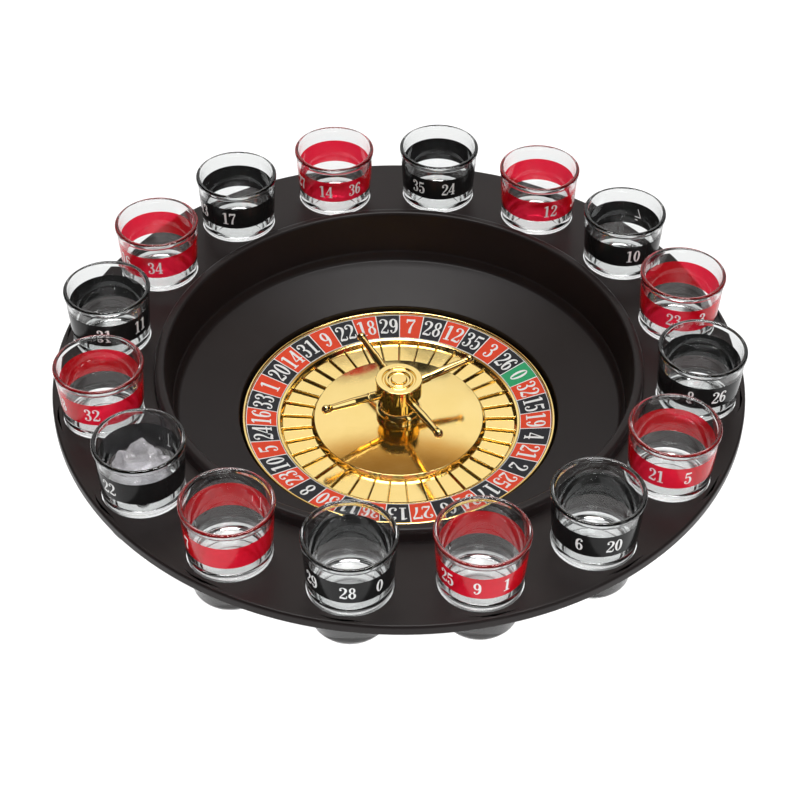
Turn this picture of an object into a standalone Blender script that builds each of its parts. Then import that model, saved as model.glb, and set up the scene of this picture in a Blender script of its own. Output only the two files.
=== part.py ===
"""Tabletop roulette set: a tray, a wheel that spins on a ball bearing, and sixteen glasses in its deck.

Units are metres, +Z is up and the origin is at the centre of the foot. Outlines are written in
millimetres as (radius, height above the deck), because every part is set out from the deck.
"""

import math

import bmesh
import bpy
from mathutils import Matrix, Vector

MM = 0.001

# Tray
DECK_ABOVE_FOOT = 41.0
TRAY_RADIUS = 145.0
SKIRT_DEPTH = 4.3
SHELL = 2.2
LIP_OUTER = 102.65
LIP_INNER = 98.2
LIP_HEIGHT = 5.6
WELL_RADIUS = 69.0
WELL_FLOOR = -38.4
TRAY_SEGMENTS = 48

# Glasses and their holes
GLASS_COUNT = 16
GLASS_CIRCLE = 124.5
FIRST_GLASS_DEG = -8.05
GLASS_SEGMENTS = 20
GLASS_RADIUS_AT_DECK = 16.3
HOLE_RADIUS = GLASS_RADIUS_AT_DECK + 0.3
BAG_GLASS = 15  # the glass that holds the bag of balls, counted from 1
BALL_RADIUS = 3.2
BALL_PLACES = ((0.8, -8.6), (6.3, -4.4))
BALL_HEIGHT = 2.1

# Wheel
POCKETS = 37
WHEEL_SEGMENTS = 48
CHANNEL_OUTER = 50.3
CHANNEL_FLOOR = -33.0
DISC_RADIUS = 36.5
DISC_CROWN = -28.2  # where the disc's shallow dome would meet the axis
FRET_WIDTH = 1.1
FRET_TOP = -31.3
FIRST_FRET_DEG = 90.0

# Ball bearing, with its middle plane at BEARING_MIDDLE
BEARING_MIDDLE = -34.2
BEARING_HALF_WIDTH = 2.5
BEARING_BORE = 4.0
BEARING_OUTER = 8.0
PITCH_RADIUS = 6.0
BEARING_BALLS = 7
BEARING_BALL_RADIUS = 0.95
BEARING_SEGMENTS = 16
CAGE_POCKET = 1.25

# Turret
ARM_COUNT = 4
FIRST_ARM_DEG = 28.4
ARM_ROOT_HEIGHT = -14.9
ARM_SLOPE_DEG = 5.4
HEAD_RADIUS = 9.9
SOCKET_RADIUS = 1.5
TURRET_SEGMENTS = 16


def finish(name, color, metallic, roughness, alpha=1.0):
    material = bpy.data.materials.new(name)
    material.use_nodes = True
    shader = material.node_tree.nodes["Principled BSDF"]
    shader.inputs["Base Color"].default_value = (*color, 1.0)
    shader.inputs["Metallic"].default_value = metallic
    shader.inputs["Roughness"].default_value = roughness
    shader.inputs["Alpha"].default_value = alpha
    return material


def new_object(name, bm, material):
    mesh = bpy.data.meshes.new(name)
    bm.to_mesh(mesh)
    bm.free()
    mesh.shade_smooth()
    mesh.set_sharp_from_angle(angle=math.radians(35))
    if material:
        mesh.materials.append(material)
    obj = bpy.data.objects.new(name, mesh)
    bpy.context.collection.objects.link(obj)
    return obj


def turned_mesh(outline, segments, height=DECK_ABOVE_FOOT):
    """A solid of revolution about Z. An outline that starts and ends on the axis is left open there."""
    bm = bmesh.new()
    points = [bm.verts.new((r * MM, 0, (z + height) * MM)) for r, z in outline]
    edges = [bm.edges.new(pair) for pair in zip(points, points[1:])]
    if outline[0][0] or outline[-1][0]:
        edges.append(bm.edges.new((points[-1], points[0])))
    bmesh.ops.spin(
        bm, geom=points + edges, cent=(0, 0, 0), axis=(0, 0, 1), angle=2 * math.pi,
        steps=segments, use_merge=True,
    )
    bmesh.ops.remove_doubles(bm, verts=bm.verts, dist=1e-6)
    bmesh.ops.recalc_face_normals(bm, faces=bm.faces)
    return bm


def turned(name, outline, segments, material):
    return new_object(name, turned_mesh(outline, segments), material)


def hide_cutter(obj):
    obj.hide_render = True
    obj.display_type = "WIRE"


def combine(obj, other, operation):
    modifier = obj.modifiers.new(other.name, "BOOLEAN")
    modifier.operation = operation
    modifier.solver = "EXACT"
    modifier.object = other
    hide_cutter(other)


def rods(name, radius, segments, length, places):
    """Round rods joined in one mesh, one for each matrix in places, centred on it and along its Z."""
    bm = bmesh.new()
    for place in places:
        bmesh.ops.create_cone(
            bm, cap_ends=True, segments=segments, radius1=radius * MM, radius2=radius * MM,
            depth=length * MM, matrix=place,
        )
    return new_object(name, bm, None)


def on_circle(radius, degrees, height):
    """A point in metres, with the height in millimetres above the deck."""
    angle = math.radians(degrees)
    x = radius * math.cos(angle)
    y = radius * math.sin(angle)
    return Vector((x, y, height + DECK_ABOVE_FOOT)) * MM


def glass_place(index):
    """The deck point of glass number index + 1, counted from the front towards +X."""
    return on_circle(GLASS_CIRCLE, FIRST_GLASS_DEG - 90 + index * 360 / GLASS_COUNT, 0)


def make_tray(material):
    foot = -DECK_ABOVE_FOOT
    outline = [
        (TRAY_RADIUS, -SKIRT_DEPTH),
        (TRAY_RADIUS, -1.2),
        (TRAY_RADIUS - 0.5, -0.3),
        (TRAY_RADIUS - 1.5, 0),
        (LIP_OUTER, 0),
        (LIP_OUTER, 4.2),
        (LIP_OUTER - 0.9, 5.2),
        (LIP_OUTER - 2.2, LIP_HEIGHT),
        (LIP_INNER + 0.6, LIP_HEIGHT - 0.2),
        (LIP_INNER, 4.8),
        (96.0, -15.3),
        (94.6, -15.9),
        (94.0, -18.5),
        (WELL_RADIUS + 0.7, -25.5),
        (WELL_RADIUS, -26.3),
        (WELL_RADIUS, WELL_FLOOR),
        (2.3, WELL_FLOOR),
        (2.3, -39.7),
        (5.0, -39.7),
        (5.0, foot),
        (WELL_RADIUS + 1.6, foot),
        (WELL_RADIUS + SHELL, foot + 0.6),
        (WELL_RADIUS + SHELL, -27.8),
        (95.5, -20.3),
        (98.2, -17.0),
        (100.2, -SHELL),
        (TRAY_RADIUS - SHELL, -SHELL),
        (TRAY_RADIUS - SHELL, -SKIRT_DEPTH),
    ]
    tray = turned("tray", outline, TRAY_SEGMENTS, material)
    places = [Matrix.Translation(glass_place(i)) for i in range(GLASS_COUNT)]
    holes = rods("hole_cutters", HOLE_RADIUS, GLASS_SEGMENTS, 20, places)
    combine(tray, holes, "DIFFERENCE")


def make_glasses(black_band, red_band):
    outline = [
        (0, -2.0),
        (11.0, -2.0),
        (14.4, 1.0),
        (16.4, 25.0),
        (17.3, 25.8),
        (18.2, 25.0),
        (17.75, 23.2),
        (GLASS_RADIUS_AT_DECK, 0),
        (15.2, -17.0),
        (13.6, -19.5),
        (0, -19.5),
    ]
    meshes = []
    for material in (black_band, red_band):
        first = new_object("glass", turned_mesh(outline, GLASS_SEGMENTS, height=0), material)
        meshes.append(first.data)
        bpy.data.objects.remove(first)
    for index in range(GLASS_COUNT):
        glass = bpy.data.objects.new(f"shot_glass_{index + 1:02d}", meshes[index % 2])
        glass.location = glass_place(index)
        bpy.context.collection.objects.link(glass)


def make_ball_bag(film, steel):
    outline = [
        (0, -1.4),
        (10.6, -1.4),
        (12.4, 0.9),
        (12.7, 12.0),
        (11.1, 17.0),
        (6.0, 19.5),
        (6.0, 20.0),
        (11.5, 17.5),
        (13.2, 12.0),
        (12.9, 0.8),
        (11.0, -1.7),
        (0, -1.7),
    ]
    place = glass_place(BAG_GLASS - 1)
    bag = new_object("ball_bag", turned_mesh(outline, 12, height=0), film)
    bag.location = place
    for number, (x, y) in enumerate(BALL_PLACES, start=1):
        bm = bmesh.new()
        bmesh.ops.create_uvsphere(bm, u_segments=10, v_segments=6, radius=BALL_RADIUS * MM)
        ball = new_object(f"game_ball_{number}", bm, steel)
        ball.location = place + Vector((x, y, BALL_HEIGHT)) * MM


def make_rotor(material):
    outline = [
        (66.1, -27.9),
        (66.8, -27.2),
        (67.5, -27.5),
        (67.7, -28.3),
        (67.7, -31.6),
        (66.0, -31.6),
        (52.4, -34.0),
        (51.6, -34.7),
        (35.6, -34.7),
        (34.6, -32.6),
        (10.5, -30.6),
        (10.5, -36.9),
        (BEARING_OUTER + 0.3, -36.9),
        (BEARING_OUTER + 0.3, BEARING_MIDDLE + BEARING_HALF_WIDTH + 0.3),
        (5.6, BEARING_MIDDLE + BEARING_HALF_WIDTH + 0.3),
        (5.6, -24.8),
        (6.6, -24.8),
        (6.6, -28.5),
        (12.0, -28.5),
        (20.0, DISC_CROWN - 0.64),
        (29.0, DISC_CROWN - 1.35),
        (DISC_RADIUS, DISC_CROWN - 2.1),
        (DISC_RADIUS + 1.0, CHANNEL_FLOOR),
        (CHANNEL_OUTER - 0.5, CHANNEL_FLOOR),
        (CHANNEL_OUTER + 0.3, -31.2),
        (52.3, -31.0),
        (52.4, -31.6),
        (66.0, -29.1),
    ]
    rotor = turned("wheel_rotor", outline, WHEEL_SEGMENTS, material)
    bm = bmesh.new()
    inner = DISC_RADIUS - 0.6
    outer = CHANNEL_OUTER + 0.9
    bottom = CHANNEL_FLOOR - 0.5
    for pocket in range(POCKETS):
        turn = Matrix.Rotation(math.radians(FIRST_FRET_DEG + pocket * 360 / POCKETS), 4, "Z")
        middle = ((inner + outer) / 2, 0, (bottom + FRET_TOP) / 2 + DECK_ABOVE_FOOT)
        size = (outer - inner, FRET_WIDTH, FRET_TOP - bottom)
        place = turn @ Matrix.Translation(Vector(middle) * MM) @ Matrix.Diagonal((*(Vector(size) * MM), 1))
        bmesh.ops.create_cube(bm, size=1, matrix=place)
    frets = new_object("fret_blades", bm, None)
    combine(rotor, frets, "UNION")


def make_number_ring(material):
    outline = [
        (65.85, -28.42),
        (65.85, -28.95),
        (52.6, -31.38),
        (52.6, -30.88),
    ]
    turned("number_ring", outline, WHEEL_SEGMENTS, material)


def race(name, plain, lip, groove, material):
    """A bearing ring from its plain face to its lip, with a groove for the balls."""
    half = BEARING_HALF_WIDTH
    outline = [
        (plain, half),
        (plain, -half),
        (lip, -half),
        (lip, -0.9),
        (groove, -0.35),
        (groove, 0.35),
        (lip, 0.9),
        (lip, half),
    ]
    raised = [(r, z + BEARING_MIDDLE) for r, z in outline]
    turned(name, raised, BEARING_SEGMENTS, material)


def make_bearing(steel, cage_metal):
    race("bearing_inner_ring", BEARING_BORE, 5.2, 4.72, steel)
    race("bearing_outer_ring", BEARING_OUTER, 6.8, 7.28, steel)
    outline = [(5.6, 1.7), (5.6, -1.7), (6.4, -1.7), (6.4, 1.7)]
    raised = [(r, z + BEARING_MIDDLE) for r, z in outline]
    cage = turned("bearing_cage", raised, 4 * BEARING_BALLS, cage_metal)
    pockets = []
    for number in range(BEARING_BALLS):
        degrees = number * 360 / BEARING_BALLS
        middle = on_circle(PITCH_RADIUS, degrees, BEARING_MIDDLE)
        outward = Matrix.Rotation(math.radians(degrees), 4, "Z") @ Matrix.Rotation(math.pi / 2, 4, "Y")
        pockets.append(Matrix.Translation(middle) @ outward)
        bm = bmesh.new()
        bmesh.ops.create_uvsphere(bm, u_segments=8, v_segments=5, radius=BEARING_BALL_RADIUS * MM)
        ball = new_object(f"bearing_ball_{number + 1}", bm, steel)
        ball.location = middle
    cutter = rods("cage_pocket_cutters", CAGE_POCKET, 8, 3, pockets)
    combine(cage, cutter, "DIFFERENCE")


def make_spindle(steel):
    """The post on the tray's floor, with the screw below it and the washer and screw above."""
    shoulder = BEARING_MIDDLE - BEARING_HALF_WIDTH - 0.3
    top = BEARING_MIDDLE + BEARING_HALF_WIDTH + 0.1
    post = [
        (0, top - 4.0),
        (1.3, top - 4.0),
        (1.3, top),
        (3.7, top),
        (3.7, shoulder),
        (5.1, shoulder),
        (5.1, WELL_FLOOR + 0.3),
        (1.5, WELL_FLOOR + 0.3),
        (1.5, WELL_FLOOR + 2.2),
        (0, WELL_FLOOR + 2.2),
    ]
    turned("spindle_post", post, BEARING_SEGMENTS, steel)
    below = [
        (0, WELL_FLOOR + 1.9),
        (1.2, WELL_FLOOR + 1.9),
        (1.2, -40.0),
        (3.2, -40.0),
        (2.6, -40.7),
        (0, -40.7),
    ]
    turned("spindle_screw", below, 12, steel)
    washer = [(1.4, top + 0.3), (1.4, top + 0.9), (5.0, top + 0.9), (5.0, top + 0.3)]
    turned("spindle_washer", washer, BEARING_SEGMENTS, steel)
    above = [
        (0, top - 3.7),
        (1.0, top - 3.7),
        (1.0, top + 1.2),
        (2.6, top + 1.2),
        (2.6, top + 2.2),
        (1.7, top + 2.9),
        (0, top + 2.9),
    ]
    turned("retaining_screw", above, 12, steel)


def arm_frame(number):
    """A place on the wheel's axis with +X along the arm."""
    turn = Matrix.Rotation(math.radians(FIRST_ARM_DEG + number * 360 / ARM_COUNT), 4, "Z")
    root = on_circle(0, 0, ARM_ROOT_HEIGHT)
    return Matrix.Translation(root) @ turn @ Matrix.Rotation(math.radians(-ARM_SLOPE_DEG), 4, "Y")


def make_turret(gold, steel):
    column = [
        (7.6, -16.9),
        (7.6, -23.6),
        (8.3, -24.9),
        (9.4, -25.3),
        (9.75, -25.8),
        (9.75, -28.1),
        (6.9, -28.1),
        (6.9, -23.8),
        (1.7, -23.8),
        (1.7, -19.6),
        (4.5, -19.6),
        (4.5, -16.9),
    ]
    turned("turret_column", column, TURRET_SEGMENTS, gold)
    head = [
        (HEAD_RADIUS, -10.7),
        (HEAD_RADIUS, -16.0),
        (HEAD_RADIUS - 0.6, -16.6),
        (4.2, -16.6),
        (4.2, -19.3),
        (1.7, -19.3),
        (1.7, -13.3),
        (3.3, -13.3),
        (3.3, -10.7),
    ]
    head = turned("turret_head", head, TURRET_SEGMENTS, gold)
    along_x = Matrix.Translation((7.6 * MM, 0, 0)) @ Matrix.Rotation(math.pi / 2, 4, "Y")
    sockets = [arm_frame(number) @ along_x for number in range(ARM_COUNT)]
    cutter = rods("arm_socket_cutters", SOCKET_RADIUS, 8, 6.0, sockets)
    combine(head, cutter, "DIFFERENCE")
    cap = [
        (0, -8.6),
        (3.0, -8.6),
        (3.4, -9.1),
        (4.4, -9.1),
        (4.8, -8.6),
        (5.6, -8.6),
        (6.0, -9.1),
        (7.0, -9.1),
        (7.4, -8.6),
        (9.6, -8.6),
        (10.0, -9.0),
        (10.0, -10.0),
        (9.4, -10.4),
        (3.0, -10.4),
        (3.0, -11.2),
        (0, -11.2),
    ]
    turned("turret_cap", cap, TURRET_SEGMENTS, gold)
    screw = [
        (0, -11.5),
        (2.4, -11.5),
        (3.0, -12.2),
        (3.0, -13.0),
        (1.4, -13.0),
        (1.4, -22.6),
        (0, -22.6),
    ]
    turned("turret_screw", screw, 12, steel)


def make_arms(gold):
    """Turned arms: a spigot in the head, a collar, a straight length, a taper and a ball at the tip."""
    ball_middle = 34.8
    ball = 1.85
    collar = HEAD_RADIUS + 0.6
    outline = [(0, 5.4), (1.2, 5.4), (1.2, collar), (2.2, collar), (2.2, 14.7), (1.75, 15.0)]
    outline += [(1.95, 15.3), (1.95, 22.2)]
    outline += [
        (ball * math.cos(math.radians(a)), ball_middle + ball * math.sin(math.radians(a)))
        for a in (-55, -10, 30, 60)
    ]
    outline += [(0, ball_middle + ball)]
    for number in range(ARM_COUNT):
        bm = turned_mesh(outline, 8, height=0)
        bmesh.ops.rotate(bm, verts=bm.verts, cent=(0, 0, 0), matrix=Matrix.Rotation(math.pi / 2, 3, "Y"))
        arm = new_object(f"turret_arm_{number + 1}", bm, gold)
        arm.matrix_world = arm_frame(number)


def main():
    for obj in list(bpy.data.objects):
        bpy.data.objects.remove(obj)
    gold = finish("gold_plating", (0.98, 0.72, 0.26), 1.0, 0.12)
    steel = finish("steel", (0.62, 0.62, 0.60), 1.0, 0.3)
    make_tray(finish("black_plastic", (0.030, 0.028, 0.028), 0.0, 0.42))
    make_glasses(
        finish("glass_black_band", (0.35, 0.35, 0.36), 0.0, 0.05, alpha=0.45),
        finish("glass_red_band", (0.75, 0.10, 0.12), 0.0, 0.05, alpha=0.45),
    )
    make_ball_bag(finish("clear_film", (0.85, 0.84, 0.87), 0.0, 0.25, alpha=0.5), steel)
    make_rotor(gold)
    make_number_ring(finish("printed_ring", (0.75, 0.12, 0.08), 0.0, 0.35))
    make_bearing(steel, finish("brass_cage", (0.78, 0.57, 0.25), 1.0, 0.35))
    make_spindle(steel)
    make_turret(gold, steel)
    make_arms(gold)


main()
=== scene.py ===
"""The looks of the tabletop roulette set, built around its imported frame.

Outlines are written in millimetres as (radius, height above the deck, corner radius), and turned about
the wheel's axis or about a glass's own axis. The deck's height and width, the wheel's rim and the places
of the glasses, arms, bag and balls come from the frame's boxes.
"""

import math
import random

import bmesh
import bpy
from mathutils import Matrix, Vector


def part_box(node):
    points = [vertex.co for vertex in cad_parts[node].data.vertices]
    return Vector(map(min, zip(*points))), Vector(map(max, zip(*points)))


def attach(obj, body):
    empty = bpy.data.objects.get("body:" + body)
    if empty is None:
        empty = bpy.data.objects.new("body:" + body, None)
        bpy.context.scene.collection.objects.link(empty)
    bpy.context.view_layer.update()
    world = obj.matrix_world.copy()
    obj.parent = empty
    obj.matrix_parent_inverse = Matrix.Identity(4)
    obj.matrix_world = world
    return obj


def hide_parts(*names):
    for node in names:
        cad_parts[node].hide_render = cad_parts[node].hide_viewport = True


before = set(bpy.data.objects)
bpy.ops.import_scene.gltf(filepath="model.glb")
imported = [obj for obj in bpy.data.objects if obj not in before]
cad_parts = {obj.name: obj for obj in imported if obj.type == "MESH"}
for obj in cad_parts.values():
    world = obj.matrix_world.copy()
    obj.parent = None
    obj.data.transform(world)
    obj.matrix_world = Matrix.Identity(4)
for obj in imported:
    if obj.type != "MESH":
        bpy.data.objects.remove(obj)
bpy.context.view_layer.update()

MM = 0.001

# ---------------------------------------------------------------- sizes in millimetres
LIP_HEIGHT = 5.6
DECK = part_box("tray")[1].z / MM - LIP_HEIGHT
TRAY_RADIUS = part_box("tray")[1].x / MM
SKIRT_DEPTH = 4.3
SHELL = 2.2  # wall thickness of the tray
FOOT = -DECK
HOLE_RADIUS = 16.6
HOLE_EDGE = 0.5  # rounding of the hole's upper edge
HOLE_COLLAR = 2.5  # width of the finer mesh around each hole
GLASS_COUNT = 16
GLASS_SEGMENTS = 72
WHEEL_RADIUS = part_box("wheel_rotor")[1].x / MM
POCKETS = 37
POCKET_DEG = 360 / POCKETS
DISC_RADIUS = 36.5
CHANNEL_FLOOR = -33.0
CHANNEL_OUTER = 50.3
RING_INNER = 52.6
RING_OUTER = 65.85
RING_INNER_HEIGHT = -30.88
RING_OUTER_HEIGHT = -28.42
RING_THICKNESS = 0.35
TURRET_SEGMENTS = 96
ARM_SEGMENTS = 40
ARM_COUNT = 4
ARM_SLOPE_DEG = 5.4
ARM_ROOT_HEIGHT = -14.9

# Clockwise from the fret at +Y, as on a single-zero wheel.
WHEEL_ORDER = (
    7, 28, 12, 35, 3, 26, 0, 32, 15, 19, 4, 21, 2, 25, 17, 34, 6, 27, 13,
    36, 11, 30, 8, 23, 10, 5, 24, 16, 33, 1, 20, 14, 31, 9, 22, 18, 29,
)
RED_NUMBERS = {1, 3, 5, 7, 9, 12, 14, 16, 18, 19, 21, 23, 25, 27, 30, 32, 34, 36}

# For each glass, counted from the front towards +X: its numbers and the side they face, in degrees
# from the front (-Y) towards +X.
GLASS_NUMBERS = (
    ((29, -53), (28, -1), (0, 41)),
    ((25, -49), (9, -7), (1, 31)),
    ((6, -26), (20, 19)),
    ((21, -27), (5, 15)),
    ((8, -19), (26, 21)),
    ((23, -16), (3, 26)),
    ((10, 11), (4, 150)),
    ((12, 16), (30, 68)),
    ((35, -33), (24, 15)),
    ((27, -61), (14, -12), (36, 35)),
    ((13, -58), (17, -9), (2, 165)),
    ((16, -50), (34, 1)),
    ((31, 0), (11, 56), (33, 170)),
    ((18, -57), (32, -5)),
    ((22, -39), (15, 150)),
    ((7, -58), (19, 140)),
)


# ---------------------------------------------------------------- outlines and turned shapes
def rounded(corners, closed=True, step_deg=15):
    """Points (r, z) of an outline whose corners (r, z, radius) are rounded by arcs."""
    points = []
    count = len(corners)
    for i, (r, z, radius) in enumerate(corners):
        here = Vector((r, z))
        if not radius or (not closed and i in (0, count - 1)):
            points.append((r, z))
            continue
        before = Vector(corners[i - 1][:2]) - here
        after = Vector(corners[(i + 1) % count][:2]) - here
        half = before.angle(after) / 2
        reach = min(radius / math.tan(half), 0.49 * before.length, 0.49 * after.length)
        radius = reach * math.tan(half)
        before.normalize()
        after.normalize()
        centre = here + (before + after).normalized() * radius / math.sin(half)
        start = here + before * reach - centre
        end = here + after * reach - centre
        first = math.atan2(start.y, start.x)
        turn = math.remainder(math.atan2(end.y, end.x) - first, 2 * math.pi)
        steps = max(1, math.ceil(abs(math.degrees(turn)) / step_deg))
        for k in range(steps + 1):
            angle = first + turn * k / steps
            points.append((centre.x + radius * math.cos(angle), centre.y + radius * math.sin(angle)))
    return points


def mesh_object(name, vertices, faces, materials, face_materials=None, close_gaps=False):
    """A smooth-shaded object from points in metres, with its faces turned outwards."""
    mesh = bpy.data.meshes.new(name)
    mesh.from_pydata(vertices, [], faces)
    for material in materials:
        mesh.materials.append(material)
    if face_materials:
        mesh.polygons.foreach_set("material_index", face_materials)
    bm = bmesh.new()
    bm.from_mesh(mesh)
    if close_gaps:
        bmesh.ops.remove_doubles(bm, verts=bm.verts, dist=2e-6)
    bmesh.ops.recalc_face_normals(bm, faces=bm.faces)
    bm.to_mesh(mesh)
    bm.free()
    mesh.shade_smooth()
    mesh.set_sharp_from_angle(angle=math.radians(40))
    obj = bpy.data.objects.new(name, mesh)
    bpy.context.scene.collection.objects.link(obj)
    flat_faces_lead = obj.modifiers.new("flat_faces_lead", "WEIGHTED_NORMAL")
    flat_faces_lead.keep_sharp = True
    return obj


def lathe_faces(points, segments, first_deg=0.0, height=0.0, closed=True):
    """Vertices in metres and faces of an outline turned about Z, and the outline row of each face."""
    vertices = []
    rows = []
    for r, z in points:
        if r < 1e-6:
            rows.append([len(vertices)] * segments)
            vertices.append((0, 0, (z + height) * MM))
            continue
        rows.append(list(range(len(vertices), len(vertices) + segments)))
        for s in range(segments):
            angle = math.radians(first_deg + 360 * s / segments)
            vertices.append((r * math.cos(angle) * MM, r * math.sin(angle) * MM, (z + height) * MM))
    faces = []
    owners = []
    last = len(rows) if closed else len(rows) - 1
    for i in range(last):
        here = rows[i]
        there = rows[(i + 1) % len(rows)]
        for s in range(segments):
            t = (s + 1) % segments
            ring = dict.fromkeys((here[s], here[t], there[t], there[s]))
            if len(ring) > 2:
                faces.append(tuple(ring))
                owners.append(i)
    return vertices, faces, owners


def turned(name, points, segments, material, height=DECK, closed=None):
    """An object turned about Z; an outline that starts and ends on the axis stays open there."""
    if closed is None:
        closed = points[0][0] > 1e-6 or points[-1][0] > 1e-6
    vertices, faces, _ = lathe_faces(points, segments, height=height, closed=closed)
    return mesh_object(name, vertices, faces, [material])


# ---------------------------------------------------------------- materials
def new_material(name, **sockets):
    """A Principled material; keywords set its sockets, with an underscore for each space."""
    material = bpy.data.materials.new(name)
    material.use_nodes = True
    shader = material.node_tree.nodes["Principled BSDF"]
    for key, value in sockets.items():
        shader.inputs[key.replace("_", " ")].default_value = value
    return material, material.node_tree, shader


def noise_node(tree, scale, detail=3.0, roughness=0.5):
    """Noise in the object's own space; scale is in waves per metre."""
    place = tree.nodes.new("ShaderNodeTexCoord")
    texture = tree.nodes.new("ShaderNodeTexNoise")
    texture.inputs["Scale"].default_value = scale
    texture.inputs["Detail"].default_value = detail
    texture.inputs["Roughness"].default_value = roughness
    tree.links.new(place.outputs["Object"], texture.inputs["Vector"])
    return texture


def spread(tree, source, low, high, low_in=0.3, high_in=0.7):
    """Maps a texture's value from its usual range to low..high."""
    node = tree.nodes.new("ShaderNodeMapRange")
    node.inputs["From Min"].default_value = low_in
    node.inputs["From Max"].default_value = high_in
    node.inputs["To Min"].default_value = low
    node.inputs["To Max"].default_value = high
    tree.links.new(source, node.inputs["Value"])
    return node.outputs["Result"]


def tint(tree, shader, source, dark, light):
    """Colour that wanders between dark and light with a texture."""
    ramp = tree.nodes.new("ShaderNodeValToRGB")
    ramp.color_ramp.elements[0].position = 0.3
    ramp.color_ramp.elements[1].position = 0.7
    ramp.color_ramp.elements[0].color = (*dark, 1)
    ramp.color_ramp.elements[1].color = (*light, 1)
    tree.links.new(source, ramp.inputs["Fac"])
    tree.links.new(ramp.outputs["Color"], shader.inputs["Base Color"])


def bump(tree, shader, source, depth, strength=1.0):
    """Relief of that depth in metres."""
    node = tree.nodes.new("ShaderNodeBump")
    node.inputs["Distance"].default_value = depth
    node.inputs["Strength"].default_value = strength
    tree.links.new(source, node.inputs["Height"])
    tree.links.new(node.outputs["Normal"], shader.inputs["Normal"])


def black_plastic():
    """Satin moulded plastic: the fine grain of a spark-eroded mould, softly uneven gloss."""
    material, tree, shader = new_material("black_plastic")
    shader.inputs["Specular IOR Level"].default_value = 0.2
    cloud = noise_node(tree, 40, detail=4)
    tint(tree, shader, cloud.outputs["Fac"], (0.0140, 0.0102, 0.0100), (0.0168, 0.0124, 0.0122))
    wipe = noise_node(tree, 160, detail=6, roughness=0.65)
    tree.links.new(spread(tree, wipe.outputs["Fac"], 0.33, 0.38), shader.inputs["Roughness"])
    grain = noise_node(tree, 3200, detail=2)
    bump(tree, shader, grain.outputs["Fac"], 0.00002, 0.35)
    return material


def gold_plating(name, polished, hazy):
    """Mirror-bright plating over moulded plastic, with faint waviness and handling haze."""
    material, tree, shader = new_material(name, Metallic=1.0)
    cloud = noise_node(tree, 60, detail=3)
    tint(tree, shader, cloud.outputs["Fac"], (0.95, 0.70, 0.26), (0.98, 0.74, 0.30))
    haze = noise_node(tree, 300, detail=5, roughness=0.6)
    tree.links.new(spread(tree, haze.outputs["Fac"], polished, hazy), shader.inputs["Roughness"])
    wave = noise_node(tree, 90, detail=2)
    bump(tree, shader, wave.outputs["Fac"], 0.00004, 0.25)
    return material


def steel(name, roughness):
    """Steel with fine scratches, whose roughness varies by 30% about the one given."""
    material, tree, shader = new_material(name, Metallic=1.0)
    cloud = noise_node(tree, 400, detail=4)
    tint(tree, shader, cloud.outputs["Fac"], (0.52, 0.52, 0.51), (0.64, 0.64, 0.63))
    scratch = noise_node(tree, 1500, detail=4)
    tree.links.new(
        spread(tree, scratch.outputs["Fac"], roughness * 0.7, roughness * 1.3), shader.inputs["Roughness"]
    )
    return material


def brass():
    """Dull brass for the bearing's cage."""
    material, tree, shader = new_material("brass_cage", Metallic=1.0)
    cloud = noise_node(tree, 500, detail=4)
    tint(tree, shader, cloud.outputs["Fac"], (0.66, 0.45, 0.18), (0.80, 0.58, 0.26))
    tree.links.new(spread(tree, cloud.outputs["Fac"], 0.25, 0.45), shader.inputs["Roughness"])
    return material


def print_ink(name, color, roughness=0.35):
    """Printed colour on film, a little uneven as ink is."""
    material, tree, shader = new_material(name)
    cloud = noise_node(tree, 700, detail=5, roughness=0.6)
    tint(tree, shader, cloud.outputs["Fac"], [c * 0.90 for c in color], color)
    tree.links.new(
        spread(tree, cloud.outputs["Fac"], roughness * 0.85, roughness * 1.15), shader.inputs["Roughness"]
    )
    shader.inputs["Specular IOR Level"].default_value = 0.1
    return material


def clear_glass():
    """Pressed glass: clear, with the slight waviness that pressing leaves."""
    material, tree, shader = new_material("clear_glass", Roughness=0.0, IOR=1.5)
    shader.inputs["Transmission Weight"].default_value = 1.0
    shader.inputs["Base Color"].default_value = (0.80, 0.812, 0.81, 1)
    wave = noise_node(tree, 150, detail=2)
    bump(tree, shader, wave.outputs["Fac"], 0.00004, 0.3)
    return material


def band_ink(name, color, through):
    """Glossy ink fired onto the glass, which lets a little coloured light through."""
    material, tree, shader = new_material(name, IOR=1.5)
    cloud = noise_node(tree, 500, detail=4)
    tint(tree, shader, cloud.outputs["Fac"], [c * 0.88 for c in color], color)
    tree.links.new(spread(tree, cloud.outputs["Fac"], 0.10, 0.20), shader.inputs["Roughness"])
    shader.inputs["Transmission Weight"].default_value = through
    shader.inputs["Specular IOR Level"].default_value = 0.15
    return material


def clear_film():
    """Thin clear plastic film."""
    material, tree, shader = new_material("clear_film", IOR=1.45)
    shader.inputs["Transmission Weight"].default_value = 0.8
    cloud = noise_node(tree, 400, detail=4)
    tint(tree, shader, cloud.outputs["Fac"], (0.94, 0.92, 0.96), (1.0, 0.99, 1.0))
    tree.links.new(spread(tree, cloud.outputs["Fac"], 0.08, 0.2), shader.inputs["Roughness"])
    wrinkles = noise_node(tree, 260, detail=4)
    bump(tree, shader, wrinkles.outputs["Fac"], 0.0008, 0.6)
    return material


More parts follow.
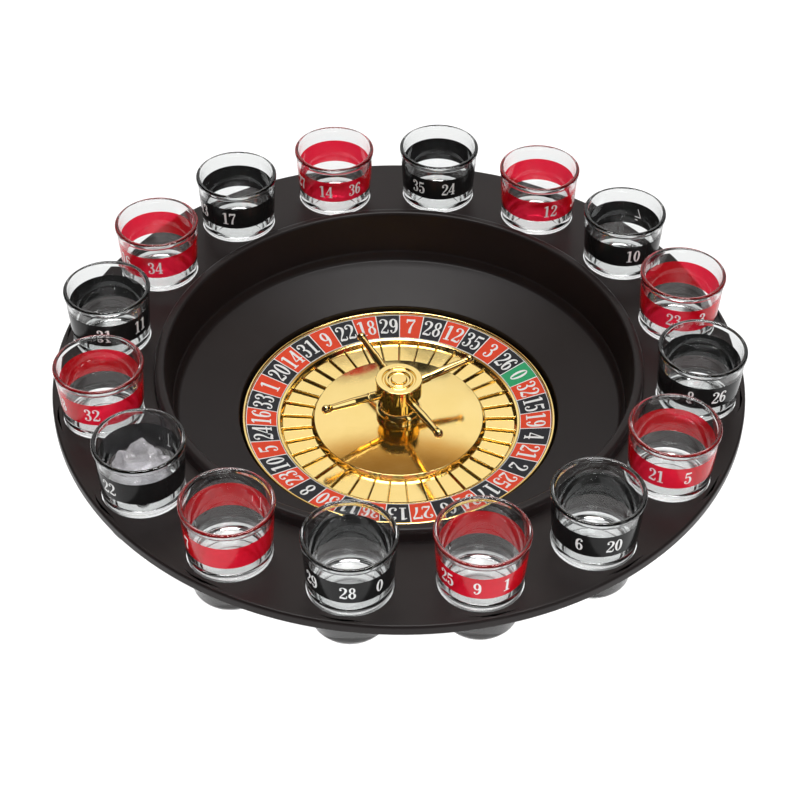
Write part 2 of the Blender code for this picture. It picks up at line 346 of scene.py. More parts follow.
PLASTIC = black_plastic()
GOLD = gold_plating("gold_plating", 0.05, 0.09)
WHEEL_GOLD = gold_plating("wheel_gold_plating", 0.09, 0.13)
STEEL = steel("turned_steel", 0.3)
BALL_STEEL = steel("polished_steel", 0.08)
BRASS = brass()
GLASS = clear_glass()
BLACK_BAND = band_ink("black_band", (0.012, 0.012, 0.012), 0.0)
RED_BAND = band_ink("red_band", (0.78, 0.001, 0.008), 0.42)
RING_RED = print_ink("ring_red", (0.83, 0.075, 0.03))
RING_BLACK = print_ink("ring_black", (0.030, 0.031, 0.036))
RING_GREEN = print_ink("ring_green", (0.04, 0.40, 0.17))
WHITE_INK = print_ink("white_ink", (0.92, 0.92, 0.91), roughness=0.45)


# ---------------------------------------------------------------- numerals
PEN = 0.02  # every stroke is this much wider than it is written, in heights
NUMERAL_WIDTH = 0.5  # of a digit's cell, in heights
NUMERAL_GAP = 0.03


def stroke(points, steps=None):
    """A pen stroke through (x, y, width), as the strip of its left and right edges."""
    steps = steps or (1 if len(points) == 2 else 5)
    spine = []
    last = len(points) - 1
    for i in range(last):
        p0, p1, p2, p3 = (Vector(points[max(0, min(last, i + k))]) for k in (-1, 0, 1, 2))
        for k in range(steps):
            t = k / steps
            spine.append(
                0.5 * (2 * p1 + (p2 - p0) * t + (2 * p0 - 5 * p1 + 4 * p2 - p3) * t**2
                       + (3 * p1 - p0 - 3 * p2 + p3) * t**3)
            )
    spine.append(Vector(points[-1]))
    strip = []
    for i, (x, y, width) in enumerate(spine):
        ahead = spine[min(i + 1, len(spine) - 1)] - spine[max(i - 1, 0)]
        side = Vector((-ahead.y, ahead.x)).normalized() * (width + PEN) / 2
        strip.append(((x + side.x, y + side.y), (x - side.x, y - side.y)))
    return strip


def oval(x, y, rx, ry, side, top, steps=20):
    """An oval ring, heavy at its sides and light at its top and bottom."""
    strip = []
    for k in range(steps + 1):
        c = math.cos(2 * math.pi * k / steps)
        s = math.sin(2 * math.pi * k / steps)
        strip.append(((x + rx * c, y + ry * s), (x + (rx - side - PEN) * c, y + (ry - top - PEN) * s)))
    return strip


def dot(x, y, radius):
    """A round dot: an oval whose ring nearly fills it."""
    return oval(x, y, radius, radius, radius * 0.98 - PEN, radius * 0.98 - PEN, steps=10)


def turned_over(strips):
    """The same shapes turned half round in their cell, which makes a nine of a six."""
    return [[tuple((NUMERAL_WIDTH - x, 1 - y) for x, y in pair) for pair in strip] for strip in strips]


SIX = [
    oval(0.25, 0.30, 0.22, 0.30, 0.115, 0.04),
    stroke([(0.40, 0.90, 0.03), (0.30, 0.98, 0.035), (0.15, 0.86, 0.10), (0.085, 0.62, 0.12),
            (0.085, 0.3, 0.11)]),
    dot(0.385, 0.84, 0.065),
]
NUMERALS = {
    "0": [oval(0.25, 0.5, 0.235, 0.5, 0.125, 0.04, steps=28)],
    "1": [
        stroke([(0.26, 0.02, 0.13), (0.26, 1.0, 0.13)]),
        stroke([(0.08, 0.02, 0.04), (0.44, 0.02, 0.04)]),
        stroke([(0.22, 0.98, 0.04), (0.08, 0.86, 0.05)]),
    ],
    "2": [
        dot(0.115, 0.77, 0.07),
        stroke([(0.06, 0.80, 0.04), (0.12, 0.93, 0.04), (0.25, 0.98, 0.04), (0.385, 0.88, 0.10),
                (0.41, 0.72, 0.125), (0.33, 0.50, 0.085), (0.18, 0.30, 0.045), (0.06, 0.10, 0.04)]),
        stroke([(0.04, 0.055, 0.07), (0.18, 0.085, 0.12), (0.34, 0.05, 0.10), (0.44, 0.08, 0.05),
                (0.465, 0.25, 0.03)]),
    ],
    "3": [
        dot(0.115, 0.80, 0.065),
        stroke([(0.06, 0.82, 0.04), (0.12, 0.94, 0.04), (0.24, 0.98, 0.04), (0.365, 0.88, 0.10),
                (0.385, 0.74, 0.115), (0.32, 0.59, 0.07), (0.19, 0.545, 0.035)]),
        stroke([(0.19, 0.545, 0.035), (0.34, 0.49, 0.075), (0.405, 0.29, 0.125), (0.36, 0.09, 0.09),
                (0.22, 0.02, 0.04), (0.10, 0.06, 0.04), (0.055, 0.17, 0.04)]),
        dot(0.115, 0.195, 0.065),
    ],
    "4": [
        stroke([(0.345, 0.02, 0.12), (0.345, 1.0, 0.12)]),
        stroke([(0.33, 0.97, 0.04), (0.02, 0.28, 0.045)]),
        stroke([(0.0, 0.265, 0.05), (0.49, 0.265, 0.05)]),
        stroke([(0.20, 0.02, 0.04), (0.48, 0.02, 0.04)]),
    ],
    "5": [
        stroke([(0.09, 0.92, 0.13), (0.25, 0.91, 0.12), (0.42, 0.95, 0.09)]),
        stroke([(0.10, 0.96, 0.035), (0.085, 0.52, 0.035)]),
        stroke([(0.08, 0.53, 0.035), (0.20, 0.61, 0.045), (0.345, 0.55, 0.09), (0.405, 0.33, 0.125),
                (0.36, 0.10, 0.09), (0.22, 0.02, 0.04), (0.10, 0.06, 0.04), (0.055, 0.17, 0.04)]),
        dot(0.115, 0.195, 0.065),
    ],
    "6": SIX,
    "7": [
        stroke([(0.03, 0.92, 0.13), (0.24, 0.91, 0.12), (0.46, 0.94, 0.11)]),
        stroke([(0.045, 0.98, 0.035), (0.045, 0.72, 0.035)]),
        stroke([(0.45, 0.90, 0.05), (0.32, 0.60, 0.06), (0.235, 0.30, 0.11), (0.21, 0.02, 0.13)]),
    ],
    "8": [
        oval(0.25, 0.755, 0.185, 0.245, 0.095, 0.04),
        oval(0.25, 0.275, 0.225, 0.275, 0.115, 0.04),
    ],
    "9": turned_over(SIX),
}
NUMERAL_PITCH = NUMERAL_WIDTH + NUMERAL_GAP  # from one digit to the next, in heights
LAYER_STEP = 0.004  # each stroke of a digit lies this much above the one before, so that none coincide
RING_NUMBER_HEIGHT = 8.3
RING_PRINT = 0.03  # how far the printed numbers stand proud
GLASS_NUMBER_HEIGHT = 6.3
GLASS_PRINT = 0.05


def numeral_strips(number, height):
    """Strips of the number's digits in millimetres, centred on (0, 0)."""
    text = str(number)
    width = NUMERAL_PITCH * len(text)
    for i, digit in enumerate(text):
        left = -width / 2 + NUMERAL_PITCH * i + NUMERAL_GAP / 2
        for strip in NUMERALS[digit]:
            yield [[((x + left) * height, (y - 0.5) * height) for x, y in pair] for pair in strip]


def lettering(name, labels, place, material, thick):
    """One thin raised mesh of printed numbers.

    labels are (number, height, where) and place(where, x, y, lift) gives the point, in metres."""
    vertices = []
    faces = []
    for number, height, where in labels:
        for layer, strip in enumerate(numeral_strips(number, height)):
            top = thick + layer * LAYER_STEP
            start = len(vertices)
            for pair in strip:
                for lift in (top, 0.0):
                    vertices += [place(where, x, y, lift) for x, y in pair]
            for k in range(len(strip) - 1):
                a = start + 4 * k
                b = a + 4
                faces += [(a, a + 1, b + 1, b), (a + 2, b + 2, b + 3, a + 3)]
                faces += [(a, b, b + 2, a + 2), (a + 1, a + 3, b + 3, b + 1)]
            end = start + 4 * (len(strip) - 1)
            faces += [(start, start + 2, start + 3, start + 1), (end, end + 1, end + 3, end + 2)]
    return mesh_object(name, vertices, faces, [material])


# ---------------------------------------------------------------- tray
def glass_axis(index):
    """Where glass number index + 1 stands, in millimetres."""
    low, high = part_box(f"shot_glass_{index + 1:02d}")
    return (low.x + high.x) / 2 / MM, (low.y + high.y) / 2 / MM


def deck_cell(first_deg, hole, inner, outer, steps_round, steps_across):
    """One sixteenth of the deck: loops of points from its border down through the hole and back under it."""
    border = []
    width = 360 / GLASS_COUNT
    for k in range(steps_round):
        border.append((outer, first_deg + width * k / steps_round))
    for k in range(steps_across):
        border.append((outer + (inner - outer) * k / steps_across, first_deg + width))
    for k in range(steps_round):
        border.append((inner, first_deg + width - width * k / steps_round))
    for k in range(steps_across):
        border.append((inner + (outer - inner) * k / steps_across, first_deg))
    flat = [Vector((r * math.cos(math.radians(a)), r * math.sin(math.radians(a)))) for r, a in border]
    centre = Vector(hole)
    edge = HOLE_EDGE
    wall = [(HOLE_RADIUS + HOLE_COLLAR, 0.0), (HOLE_RADIUS + edge, 0.0)]
    for angle in (22.5, 45, 67.5, 90):
        a = math.radians(angle)
        wall.append((HOLE_RADIUS + edge * (1 - math.sin(a)), -edge * (1 - math.cos(a))))
    wall += [(HOLE_RADIUS, -SHELL), (HOLE_RADIUS + HOLE_COLLAR, -SHELL)]
    loops = [[(p.x, p.y, 0.0) for p in flat]]
    for radius, z in wall:
        ring = [centre + (p - centre).normalized() * radius for p in flat]
        loops.append([(p.x, p.y, z) for p in ring])
    loops.append([(p.x, p.y, -SHELL) for p in flat])
    return loops


def make_tray():
    """The tray: rim, deck with its holes, raised ring, basin wall, apron, well and underside."""
    lip_outer = 102.65
    lip_inner = 98.2
    well = 68.6
    edge = 142.6
    under_lip = 104.9
    steps_round = 12
    steps_across = 9
    rim = TRAY_RADIUS - 0.02  # just inside the frame's box
    shift = -90 + math.degrees(math.atan2(glass_axis(0)[0], -glass_axis(0)[1])) - 180 / GLASS_COUNT
    outside = rounded([
        (edge, 0, 0),
        (rim, 0, 1.3),
        (rim, -SKIRT_DEPTH, 0.4),
        (TRAY_RADIUS - SHELL, -SKIRT_DEPTH, 0.4),
        (TRAY_RADIUS - SHELL, -SHELL, 0.8),
        (edge - 0.6, -SHELL, 0),
    ], closed=False)
    outside[-1] = (edge, -SHELL)
    inside = rounded([
        (under_lip, 0, 0),
        (lip_outer, 0, 0.5),
        (lip_outer, LIP_HEIGHT, 1.9),
        (lip_inner, LIP_HEIGHT, 1.5),
        (96.4, -14.4, 0.6),
        (95.7, -15.0, 0.5),
        (94.5, -18.4, 2.4),
        (well + 0.1, -25.5, 0.5),
        (well, -38.4, 1.0),
        (2.3, -38.4, 0.3),
        (2.3, -39.7, 0.1),
        (5.0, -39.7, 0.2),
        (5.0, FOOT, 0.4),
        (well + SHELL, FOOT, 1.2),
        (well + SHELL, -27.8, 2.0),
        (95.5, -20.6, 3.0),
        (98.4, -17.0, 2.0),
        (100.4, -SHELL, 1.0),
        (under_lip, -SHELL, 0),
    ], closed=False)
    segments = GLASS_COUNT * steps_round
    vertices = []
    faces = []
    for outline in (outside, inside):
        points, quads, _ = lathe_faces(outline, segments, first_deg=shift, height=DECK, closed=False)
        faces += [tuple(v + len(vertices) for v in quad) for quad in quads]
        vertices += points
    for index in range(GLASS_COUNT):
        first = shift + index * 360 / GLASS_COUNT
        loops = deck_cell(first, glass_axis(index), under_lip, edge, steps_round, steps_across)
        count = len(loops[0])
        base = len(vertices)
        vertices += [(x * MM, y * MM, (z + DECK) * MM) for loop in loops for x, y, z in loop]
        for i in range(len(loops) - 1):
            for k in range(count):
                a = base + i * count + k
                b = base + i * count + (k + 1) % count
                faces.append((a, b, b + count, a + count))
    tray = mesh_object("tray_moulding", vertices, faces, [PLASTIC], close_gaps=True)
    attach(tray, "tray")
    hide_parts("tray")


# ---------------------------------------------------------------- wheel
def disc_height(r):
    """Height of the gold disc's shallow dome at radius r."""
    return -28.2 - 0.0016 * r * r


def make_rotor():
    """The wheel's moulding: rim, seat of the number ring, pocket channel, domed disc and hub."""
    segments = POCKETS * 6
    underside = [
        (66.1, -28.6, 0.1),
        (66.1, -27.2, 0.7),
        (WHEEL_RADIUS, -27.2, 0.8),
        (WHEEL_RADIUS, -31.6, 0.5),
        (66.0, -31.6, 0.5),
        (52.4, -34.2, 1.0),
        (51.6, -34.7, 0.4),
        (35.6, -34.7, 0.5),
        (34.6, -32.6, 0.8),
        (10.5, -30.6, 0.8),
        (10.5, -36.9, 0.4),
        (8.3, -36.9, 0.2),
        (8.3, -31.4, 0.1),
        (5.6, -31.4, 0.2),
        (5.6, -24.8, 0.2),
        (6.6, -24.8, 0.2),
    ]
    dome = [(r, disc_height(r), 0) for r in range(9, 36, 3)]
    channel = [
        (DISC_RADIUS, disc_height(DISC_RADIUS), 0.35),
        (DISC_RADIUS + 1.2, CHANNEL_FLOOR, 0.35),
        (CHANNEL_OUTER - 0.1, CHANNEL_FLOOR, 0.6),
        (CHANNEL_OUTER + 1.0, -31.1, 0.3),
        (52.35, -30.8, 0.15),
        (52.45, -31.6, 0.1),
        (66.0, -29.1, 0.1),
    ]
    outline = rounded(underside + [(6.6, disc_height(6.6), 0.3)] + dome + channel)
    rotor = turned("rotor_moulding", outline, segments, WHEEL_GOLD)
    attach(rotor, "wheel")
    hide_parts("wheel_rotor")
    make_frets()


def make_frets():
    """The thin walls between the pockets: drafted sides and a rounded top."""
    vertices = []
    faces = []
    half_base = 0.55
    half_top = 0.25
    top = -31.85
    shoulder = top - 0.3
    bottom = CHANNEL_FLOOR - 0.2
    for pocket in range(POCKETS):
        angle = math.radians(90 + pocket * POCKET_DEG)
        along = Vector((math.cos(angle), math.sin(angle), 0))
        across = Vector((-along.y, along.x, 0))
        arc = [math.radians(a) for a in (-75, -45, -15, 15, 45, 75)]
        section = [(-half_base, bottom)]
        section += [(half_top * math.sin(a), shoulder + (top - shoulder) * math.cos(a)) for a in arc]
        section += [(half_base, bottom)]
        start = len(vertices)
        for r in (DISC_RADIUS + 1.35, CHANNEL_OUTER + 0.6):
            for side, z in section:
                point = along * r + across * side
                vertices.append((point.x * MM, point.y * MM, (z + DECK) * MM))
        n = len(section)
        faces += [(start + k, start + (k + 1) % n, start + n + (k + 1) % n, start + n + k) for k in range(n)]
        faces += [tuple(start + k for k in range(n)), tuple(start + n + k for k in reversed(range(n)))]
    frets = mesh_object("pocket_frets", vertices, faces, [WHEEL_GOLD])
    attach(frets, "wheel")


def ring_height(r):
    """Height of the number ring's printed face at radius r, in millimetres above the deck."""
    rise = RING_OUTER_HEIGHT - RING_INNER_HEIGHT
    return RING_INNER_HEIGHT + rise * (r - RING_INNER) / (RING_OUTER - RING_INNER)


def make_number_ring():
    """The printed ring: coloured fields with white lines round them, and its numbers."""
    border = 0.28
    separator_deg = 0.44
    radii = [RING_INNER, RING_INNER + border, RING_OUTER - border, RING_OUTER]
    field_steps = 6
    white, red, black, green = range(4)
    vertices = []
    angles = []
    colors = []
    for k, number in enumerate(WHEEL_ORDER):
        first = 90 - k * POCKET_DEG
        color = green if number == 0 else red if number in RED_NUMBERS else black
        angles.append(first + separator_deg / 2)
        colors.append(white)
        for step in range(field_steps):
            angles.append(first - separator_deg / 2 - (POCKET_DEG - separator_deg) * step / field_steps)
            colors.append(color)
    for degrees in angles:
        a = math.radians(degrees)
        for r in radii:
            vertices.append((r * math.cos(a) * MM, r * math.sin(a) * MM, (ring_height(r) + DECK) * MM))
        for r in (RING_OUTER, RING_INNER):
            under = ring_height(r) - RING_THICKNESS
            vertices.append((r * math.cos(a) * MM, r * math.sin(a) * MM, (under + DECK) * MM))
    faces = []
    face_colors = []
    loop = len(radii) + 2
    for s in range(len(angles)):
        here = s * loop
        there = (s + 1) % len(angles) * loop
        for k in range(loop):
            t = (k + 1) % loop
            faces.append((here + k, here + t, there + t, there + k))
            face_colors.append(colors[s] if k == 1 else white)
    ring = mesh_object(
        "number_ring_print", vertices, faces, [WHITE_INK, RING_RED, RING_BLACK, RING_GREEN], face_colors
    )
    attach(ring, "wheel")
    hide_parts("number_ring")

    middle = (RING_INNER + RING_OUTER) / 2 + 0.2
    labels = [
        (number, RING_NUMBER_HEIGHT, 90 - (k + 0.5) * POCKET_DEG) for k, number in enumerate(WHEEL_ORDER)
    ]

    def place(degrees, x, y, lift):
        r = middle + y
        a = math.radians(degrees) - x / middle
        return (r * math.cos(a) * MM, r * math.sin(a) * MM, (ring_height(r) + lift + DECK) * MM)

    numbers = lettering("number_ring_numbers", labels, place, WHITE_INK, RING_PRINT)
    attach(numbers, "wheel")


def make_turret():
    """The column with its foot, the head that holds the arms, and the cap."""
    column = rounded([
        (7.45, -16.8, 0.2),
        (7.45, -23.4, 0.8),
        (7.9, -24.6, 1.2),
        (9.2, -25.25, 0.5),
        (9.75, -25.3, 0.25),
        (9.75, -26.0, 0.2),
        (9.45, -26.3, 0.2),
        (9.45, -27.4, 0.2),
        (9.75, -27.7, 0.2),
        (9.75, -28.25, 0.2),
        (6.9, -28.25, 0.2),
        (6.9, -23.8, 0.2),
        (1.7, -23.8, 0.2),
        (1.7, -19.6, 0.2),
        (4.5, -19.6, 0.2),
        (4.5, -16.8, 0.2),
    ])
    head = rounded([
        (9.9, -10.6, 0.15),
        (9.9, -16.6, 0.5),
        (4.2, -16.6, 0.2),
        (4.2, -19.3, 0.2),
        (1.7, -19.3, 0.2),
        (1.7, -13.3, 0.1),
        (3.3, -13.3, 0.1),
        (3.3, -10.6, 0.2),
    ])
    cap = rounded([
        (0, -8.6, 0),
        (3.1, -8.6, 0.2),
        (3.5, -9.5, 0.3),
        (4.5, -9.5, 0.3),
        (4.9, -8.6, 0.2),
        (5.8, -8.6, 0.2),
        (6.2, -9.4, 0.3),
        (7.0, -9.4, 0.3),
        (7.4, -8.6, 0.2),
        (10.0, -8.6, 0.45),
        (10.0, -10.4, 0.25),
        (3.0, -10.4, 0.2),
        (3.0, -11.2, 0.2),
        (0, -11.2, 0),
    ], closed=False)
    for name, outline in (("turret_column", column), ("turret_head", head), ("turret_cap", cap)):
        piece = turned(name + "_turned", outline, TURRET_SEGMENTS, GOLD)
        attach(piece, "wheel")
        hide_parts(name)


def make_arms():
    """Four turned arms, made upright, then tilted and turned to where the frame has them."""
    ball_middle = 34.8
    ball = 1.95
    corners = [(0, 5.4, 0), (1.2, 5.4, 0.2), (1.2, 9.4, 0), (2.0, 9.4, 0), (2.0, 14.7, 0.25)]
    corners += [(1.68, 14.95, 0.15), (1.68, 16.0, 2.0), (1.85, 21.6, 0.6), (1.38, 32.3, 0.2)]
    corners += [(1.6, 32.5, 0.15), (1.6, 32.95, 0.15)]
    outline = rounded(corners, closed=False, step_deg=10)
    outline += [
        (ball * math.cos(math.radians(a)), ball_middle + ball * math.sin(math.radians(a)))
        for a in range(-55, 90, 10)
    ]
    outline += [(0, ball_middle + ball)]
    for number in range(ARM_COUNT):
        node = f"turret_arm_{number + 1}"
        low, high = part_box(node)
        middle = (low + high) / 2
        turn = Matrix.Rotation(math.atan2(middle.y, middle.x), 4, "Z")
        tilt = Matrix.Rotation(math.radians(90 - ARM_SLOPE_DEG), 4, "Y")
        root = Matrix.Translation((0, 0, (DECK + ARM_ROOT_HEIGHT) * MM))
        arm = turned(node + "_turned", outline, ARM_SEGMENTS, GOLD, height=0)
        arm.data.transform(root @ turn @ tilt)
        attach(arm, "wheel")
        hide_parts(node)


# ---------------------------------------------------------------- glasses
BAND_LOW = 7.4
BAND_HIGH = 18.6


def wall_radius(z):
    """Outer radius of a glass's wall at height z above the deck."""
    return 16.3 + 1.45 * z / 23.2


def glass_outline():
    """A glass's section from its bottom centre, up the outside and down inside, and its band's rows."""
    outside = rounded([
        (0, -19.3, 0),
        (11.8, -19.3, 0.8),
        (12.6, -19.5, 0.5),
        (13.6, -19.5, 0.8),
        (15.2, -17.0, 2.5),
        (wall_radius(BAND_LOW), BAND_LOW, 0),
    ], closed=False)
    band = [(wall_radius(z), z) for z in (10.2, 13.0, 15.8, BAND_HIGH)]
    inside = rounded([
        (wall_radius(BAND_HIGH), BAND_HIGH, 0),
        (17.75, 23.4, 1.5),
        (18.2, 24.2, 0.6),
        (18.2, 25.8, 0.9),
        (16.45, 25.8, 0.8),
        (14.75, 3.0, 3.5),
        (13.4, -2.0, 4.0),
        (0, -2.2, 0),
    ], closed=False)
    first = len(outside) - 1
    return outside + band + inside[1:], range(first, first + len(band))


def make_glass(index, outline, band_rows):
    """One glass with its coloured band, and the numbers printed on it."""
    name = f"shot_glass_{index + 1:02d}"
    red = index % 2 == 1
    x0, y0 = glass_axis(index)
    vertices, faces, owners = lathe_faces(outline, GLASS_SEGMENTS, height=DECK, closed=False)
    vertices = [(x + x0 * MM, y + y0 * MM, z) for x, y, z in vertices]
    printed = [1 if row in band_rows else 0 for row in owners]
    band = RED_BAND if red else BLACK_BAND
    glass = mesh_object(f"glass_{index + 1:02d}", vertices, faces, [GLASS, band], printed)
    body = name
    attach(glass, body)
    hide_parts(name)
    glass.visible_shadow = False  # clear glass would otherwise throw a dark, noisy shadow
    middle = (BAND_LOW + BAND_HIGH) / 2

    def place(degrees, x, y, lift):
        z = middle + y
        r = wall_radius(z) + lift
        a = math.radians(degrees) + x / wall_radius(middle)
        return ((x0 + r * math.sin(a)) * MM, (y0 - r * math.cos(a)) * MM, (z + DECK) * MM)

    labels = [(number, GLASS_NUMBER_HEIGHT, degrees) for number, degrees in GLASS_NUMBERS[index]]
    numbers = lettering(f"glass_{index + 1:02d}_numbers", labels, place, WHITE_INK, GLASS_PRINT)
    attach(numbers, body)


# ---------------------------------------------------------------- bag and balls
def make_bag():
    """A crumpled clear bag: a pouch whose surface is creased along many random planes."""
    low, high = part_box("ball_bag")
    x0, y0 = (low.x + high.x) / 2 / MM, (low.y + high.y) / 2 / MM
    bottom = low.z / MM - DECK
    top = high.z / MM - DECK
    draw = random.Random(7)
    waist = 12.2
    widest = 12.6
    foot_radius = 10.8
    creases = []
    for _ in range(10):
        direction = Vector((draw.gauss(0, 1), draw.gauss(0, 1), draw.gauss(0, 0.7))).normalized()
        creases.append((direction, draw.uniform(0.10, 0.26), draw.uniform(0, 1)))
    bm = bmesh.new()
    bmesh.ops.create_icosphere(bm, subdivisions=5, radius=1.0)
    middle = (bottom + top) / 2
    half = (top - bottom) / 2
    for vertex in bm.verts:
        d = vertex.co.normalized()
        fold = 0.0
        for direction, frequency, phase in creases:
            wave = (d * 12).dot(direction) * frequency + phase
            fold += abs(2 * (wave - math.floor(wave + 0.5))) - 0.5
        fold = fold / len(creases) * 7.0
        ridge = max(0.0, 1 - abs(d.x * 0.9 - 0.25 + 0.35 * d.y) * 2.2) * max(0.0, d.z)
        flat = math.sqrt(d.x * d.x + d.y * d.y)
        radius = waist * flat**0.55 * (0.92 + 0.09 * fold) * (1 - 0.28 * max(0.0, d.z) ** 1.5)
        lift = half * math.copysign(abs(d.z) ** 0.8, d.z) * (0.78 + 0.15 * fold) + ridge * 3.2
        radius = min(radius, widest)
        angle = math.atan2(d.y, d.x)
        z = max(bottom + 0.05, min(top - 0.1, middle + lift))
        if z < 1.0:
            radius = min(radius, foot_radius + 0.65 * (z - bottom))
        x = x0 + radius * math.cos(angle)
        y = y0 + radius * math.sin(angle)
        vertex.co = Vector((x * MM, y * MM, (z + DECK) * MM))
    mesh = bpy.data.meshes.new("film_bag")
    bm.to_mesh(mesh)
    bm.free()
    mesh.shade_smooth()
    bag = bpy.data.objects.new("film_bag", mesh)
    mesh.materials.append(clear_film())
    bpy.context.scene.collection.objects.link(bag)
    shell = bag.modifiers.new("film", "SOLIDIFY")
    shell.thickness = 0.05 * MM
    shell.offset = -1
    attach(bag, "bag_of_balls")
    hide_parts("ball_bag")
    for number in (1, 2):
        low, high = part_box(f"game_ball_{number}")
        bm = bmesh.new()
        middle = Matrix.Translation((low + high) / 2)
        bmesh.ops.create_icosphere(bm, subdivisions=4, radius=(high.x - low.x) / 2, matrix=middle)
        mesh = bpy.data.meshes.new(f"steel_ball_{number}")
        bm.to_mesh(mesh)
        bm.free()
        mesh.shade_smooth()
        mesh.materials.append(BALL_STEEL)
        ball = bpy.data.objects.new(f"steel_ball_{number}", mesh)
        bpy.context.scene.collection.objects.link(ball)
        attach(ball, "bag_of_balls")
        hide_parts(f"game_ball_{number}")


# ---------------------------------------------------------------- kept CAD nodes
def finish_kept_nodes():
    """The bearing, spindle and screws keep their CAD shape and get a metal finish."""
    finishes = {
        "spindle_post": STEEL,
        "spindle_screw": STEEL,
        "spindle_washer": STEEL,
        "retaining_screw": STEEL,
        "turret_screw": STEEL,
        "bearing_inner_ring": BALL_STEEL,
        "bearing_outer_ring": BALL_STEEL,
        "bearing_cage": BRASS,
    }
    for name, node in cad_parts.items():
        material = BALL_STEEL if name.startswith("bearing_ball") else finishes.get(name)
        if material:
            node.data.materials.clear()
            node.data.materials.append(material)


# ---------------------------------------------------------------- studio
CAMERA_DISTANCE = 0.7725
CAMERA_ELEVATION = 41.4
CAMERA_ROLL = 0.59
CAMERA_LENS = 82.35
CAMERA_SHIFT = (0.001, -0.0458)


def make_camera():
    """The camera, aimed at the middle of the deck from the front."""
    data = bpy.data.cameras.new("camera")
    data.lens = CAMERA_LENS
    data.sensor_width = 36.0
    data.shift_x, data.shift_y = CAMERA_SHIFT
    data.clip_start = 0.01
    data.clip_end = 20
    camera = bpy.data.objects.new("camera", data)
    bpy.context.scene.collection.objects.link(camera)
    elevation = math.radians(CAMERA_ELEVATION)
    target = Vector((0, 0, DECK * MM))
    back = Vector((0, -math.cos(elevation), math.sin(elevation)))
    turn = back.to_track_quat("Z", "Y").to_matrix().to_4x4()
    roll = Matrix.Rotation(math.radians(CAMERA_ROLL), 4, "Z")
    camera.matrix_world = Matrix.Translation(target + back * CAMERA_DISTANCE) @ turn @ roll
    bpy.context.scene.camera = camera


def softbox(name, place, size, power):
    """A rectangular light that faces the object."""
    data = bpy.data.lights.new(name, "AREA")
    data.shape = "RECTANGLE"
    data.size, data.size_y = size
    data.energy = power
    light = bpy.data.objects.new(name, data)
    bpy.context.scene.collection.objects.link(light)
    light.location = place
    towards_object = Vector() - Vector(place)
    light.rotation_euler = towards_object.to_track_quat("-Z", "Y").to_euler()
    return light


def math_node(tree, operation, first, second=0):
    """A math node's result; each input is a number or a socket."""
    node = tree.nodes.new("ShaderNodeMath")
    node.operation = operation
    for socket, value in zip(node.inputs, (first, second)):
        if isinstance(value, (int, float)):
            socket.default_value = value
        else:
            tree.links.new(value, socket)
    return node.outputs["Value"]


def sky_ramp(tree, height, stops):
    """Light of the surroundings by height, from (sine of the elevation, colour) stops."""
    ramp = tree.nodes.new("ShaderNodeValToRGB")
    elements = ramp.color_ramp.elements
    while len(elements) < len(stops):
        elements.new(0.5)
    for element, (place, color) in zip(elements, stops):
        element.position = place
        element.color = (*color, 1)
    tree.links.new(height, ramp.inputs["Fac"])
    return ramp.outputs["Color"]


def scaled(tree, color, factor):
    """The colour times the factor."""
    node = tree.nodes.new("ShaderNodeVectorMath")
    node.operation = "SCALE"
    tree.links.new(color, node.inputs[0])
    tree.links.new(factor, node.inputs["Scale"])
    return node.outputs["Vector"]


def added(tree, first, second):
    """The sum of two colours."""
    node = tree.nodes.new("ShaderNodeVectorMath")
    tree.links.new(first, node.inputs[0])
    tree.links.new(second, node.inputs[1])
    return node.outputs["Vector"]


def patch(tree, direction, middle, radius_deg, level):
    """A round soft-edged light panel in the sky, seen in the direction of middle."""
    towards = tree.nodes.new("ShaderNodeVectorMath")
    towards.operation = "DOT_PRODUCT"
    tree.links.new(direction, towards.inputs[0])
    towards.inputs[1].default_value = Vector(middle).normalized()
    edge = [math.cos(math.radians(radius_deg + soft)) for soft in (2.5, -2.5)]
    return spread(tree, towards.outputs["Value"], 0.0, level, *edge)


def strip_light(tree, direction, x, axis, offset, half_width, level):
    """A long narrow light in the sky on the +X side, on a cone about the axis."""
    along = tree.nodes.new("ShaderNodeVectorMath")
    along.operation = "DOT_PRODUCT"
    tree.links.new(direction, along.inputs[0])
    along.inputs[1].default_value = Vector(axis).normalized()
    away = math_node(tree, "ABSOLUTE", math_node(tree, "SUBTRACT", along.outputs["Value"], offset))
    glow = spread(tree, away, level, 0.0, half_width - 0.01, half_width + 0.01)
    return math_node(tree, "MULTIPLY", glow, spread(tree, x, 0.0, 1.0, 0.28, 0.34))


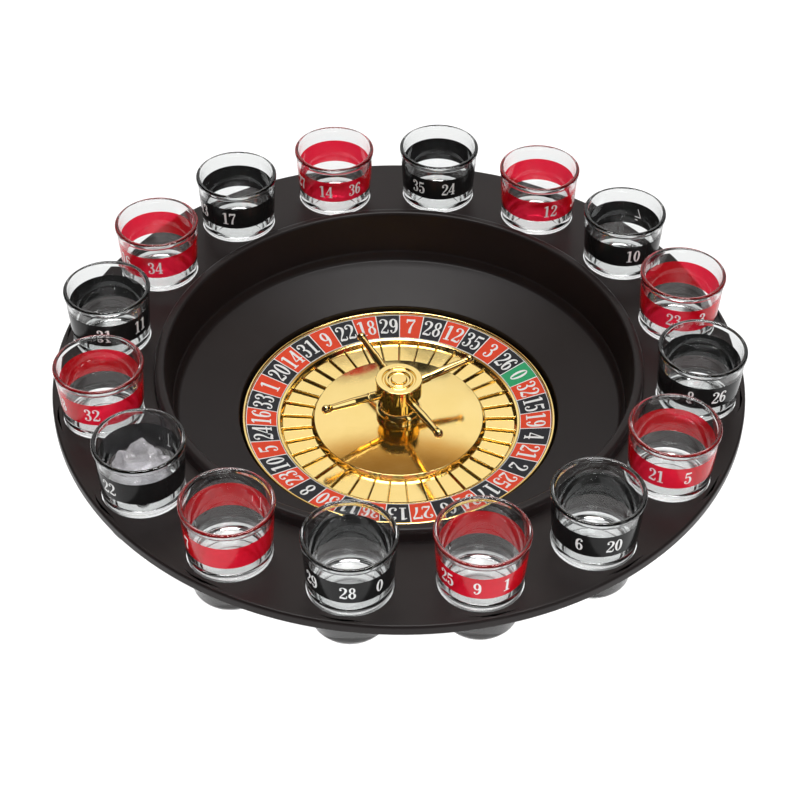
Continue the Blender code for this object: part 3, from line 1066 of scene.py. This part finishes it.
def studio_sky():
    """A dark room with a bright wall behind the object, a warm ceiling above it and two lights."""
    world = bpy.data.worlds.new("studio")
    bpy.context.scene.world = world
    world.use_nodes = True
    tree = world.node_tree
    place = tree.nodes.new("ShaderNodeTexCoord")
    direction = place.outputs["Generated"]
    split = tree.nodes.new("ShaderNodeSeparateXYZ")
    tree.links.new(direction, split.inputs["Vector"])
    x, y, z = (split.outputs[axis] for axis in "XYZ")
    wall = sky_ramp(tree, z, (
        (0.0, (0.8, 0.8, 0.8)),
        (0.5, (0.9, 0.9, 0.9)),
        (0.62, (1.0, 1.0, 1.0)),
        (0.735, (1.03, 1.02, 1.0)),
        (0.77, (0.66, 0.44, 0.22)),
        (0.81, (0.30, 0.18, 0.08)),
        (1.0, (0.03, 0.02, 0.01)),
    ))
    room = sky_ramp(tree, z, (
        (0.0, (0.14, 0.14, 0.14)),
        (0.15, (0.08, 0.08, 0.08)),
        (0.35, (0.03, 0.03, 0.03)),
        (1.0, (0.03, 0.03, 0.03)),
    ))
    aside = math_node(tree, "ABSOLUTE", math_node(tree, "ARCTAN2", x, y))
    wall_end = [math.radians(degrees) for degrees in (32, 46)]
    light = scaled(tree, wall, spread(tree, aside, 1.0, 0.0, *wall_end))
    light = added(tree, light, scaled(tree, room, spread(tree, aside, 0.0, 1.0, *wall_end)))
    front_panel = patch(tree, direction, middle=(0.405, -0.70, 0.588), radius_deg=8, level=1.3)
    light = added(tree, light, front_panel)
    strip = strip_light(tree, direction, x, (-0.876, -0.474, 0.094), offset=-0.31, half_width=0.06, level=1.2)
    light = added(tree, light, strip)
    tree.links.new(light, tree.nodes["Background"].inputs["Color"])
    tree.nodes["Background"].inputs["Strength"].default_value = 1.0


def make_studio():
    """A pale floor that glows, its glow turned down under the object as painted shade, the sky and two soft
    lights.
    """
    mesh = bpy.data.meshes.new("floor")
    half = 6.0
    corners = [(-half, -half, 0), (half, -half, 0), (half, half, 0), (-half, half, 0)]
    mesh.from_pydata(corners, [], [(0, 1, 2, 3)])
    floor = bpy.data.objects.new("floor", mesh)
    bpy.context.scene.collection.objects.link(floor)
    material, tree, shader = new_material("floor", Roughness=0.6)
    cloud = noise_node(tree, 3, detail=2)
    tint(tree, shader, cloud.outputs["Fac"], (0.19, 0.19, 0.19), (0.21, 0.21, 0.21))
    shader.inputs["Emission Color"].default_value = (1, 1, 1, 1)
    reach = tree.nodes.new("ShaderNodeVectorMath")
    reach.operation = "LENGTH"
    place = tree.nodes.new("ShaderNodeTexCoord")
    tree.links.new(place.outputs["Object"], reach.inputs[0])
    # painted shade: the glow falls from 0.97 to 0.15 towards the axis, so the floor under the object is
    # darkened like a cast shadow
    glow = spread(tree, reach.outputs["Value"], 0.15, 0.97, 0.09, 0.103)
    tree.links.new(glow, shader.inputs["Emission Strength"])
    mesh.materials.append(material)
    studio_sky()
    softbox("top_box", (0.0, 0.42, 2.4), (1.2, 0.9), 39)
    fill = softbox("front_fill", (0.2, -2.0, 0.65), (1.0, 1.0), 15)
    fill.visible_glossy = False
    bpy.context.scene.view_settings.view_transform = "Standard"


def main():
    """Makes every piece, then the studio."""
    make_camera()
    make_tray()
    make_rotor()
    make_number_ring()
    make_turret()
    make_arms()
    outline, band_rows = glass_outline()
    for index in range(GLASS_COUNT):
        make_glass(index, outline, band_rows)
    make_bag()
    finish_kept_nodes()
    make_studio()


main()
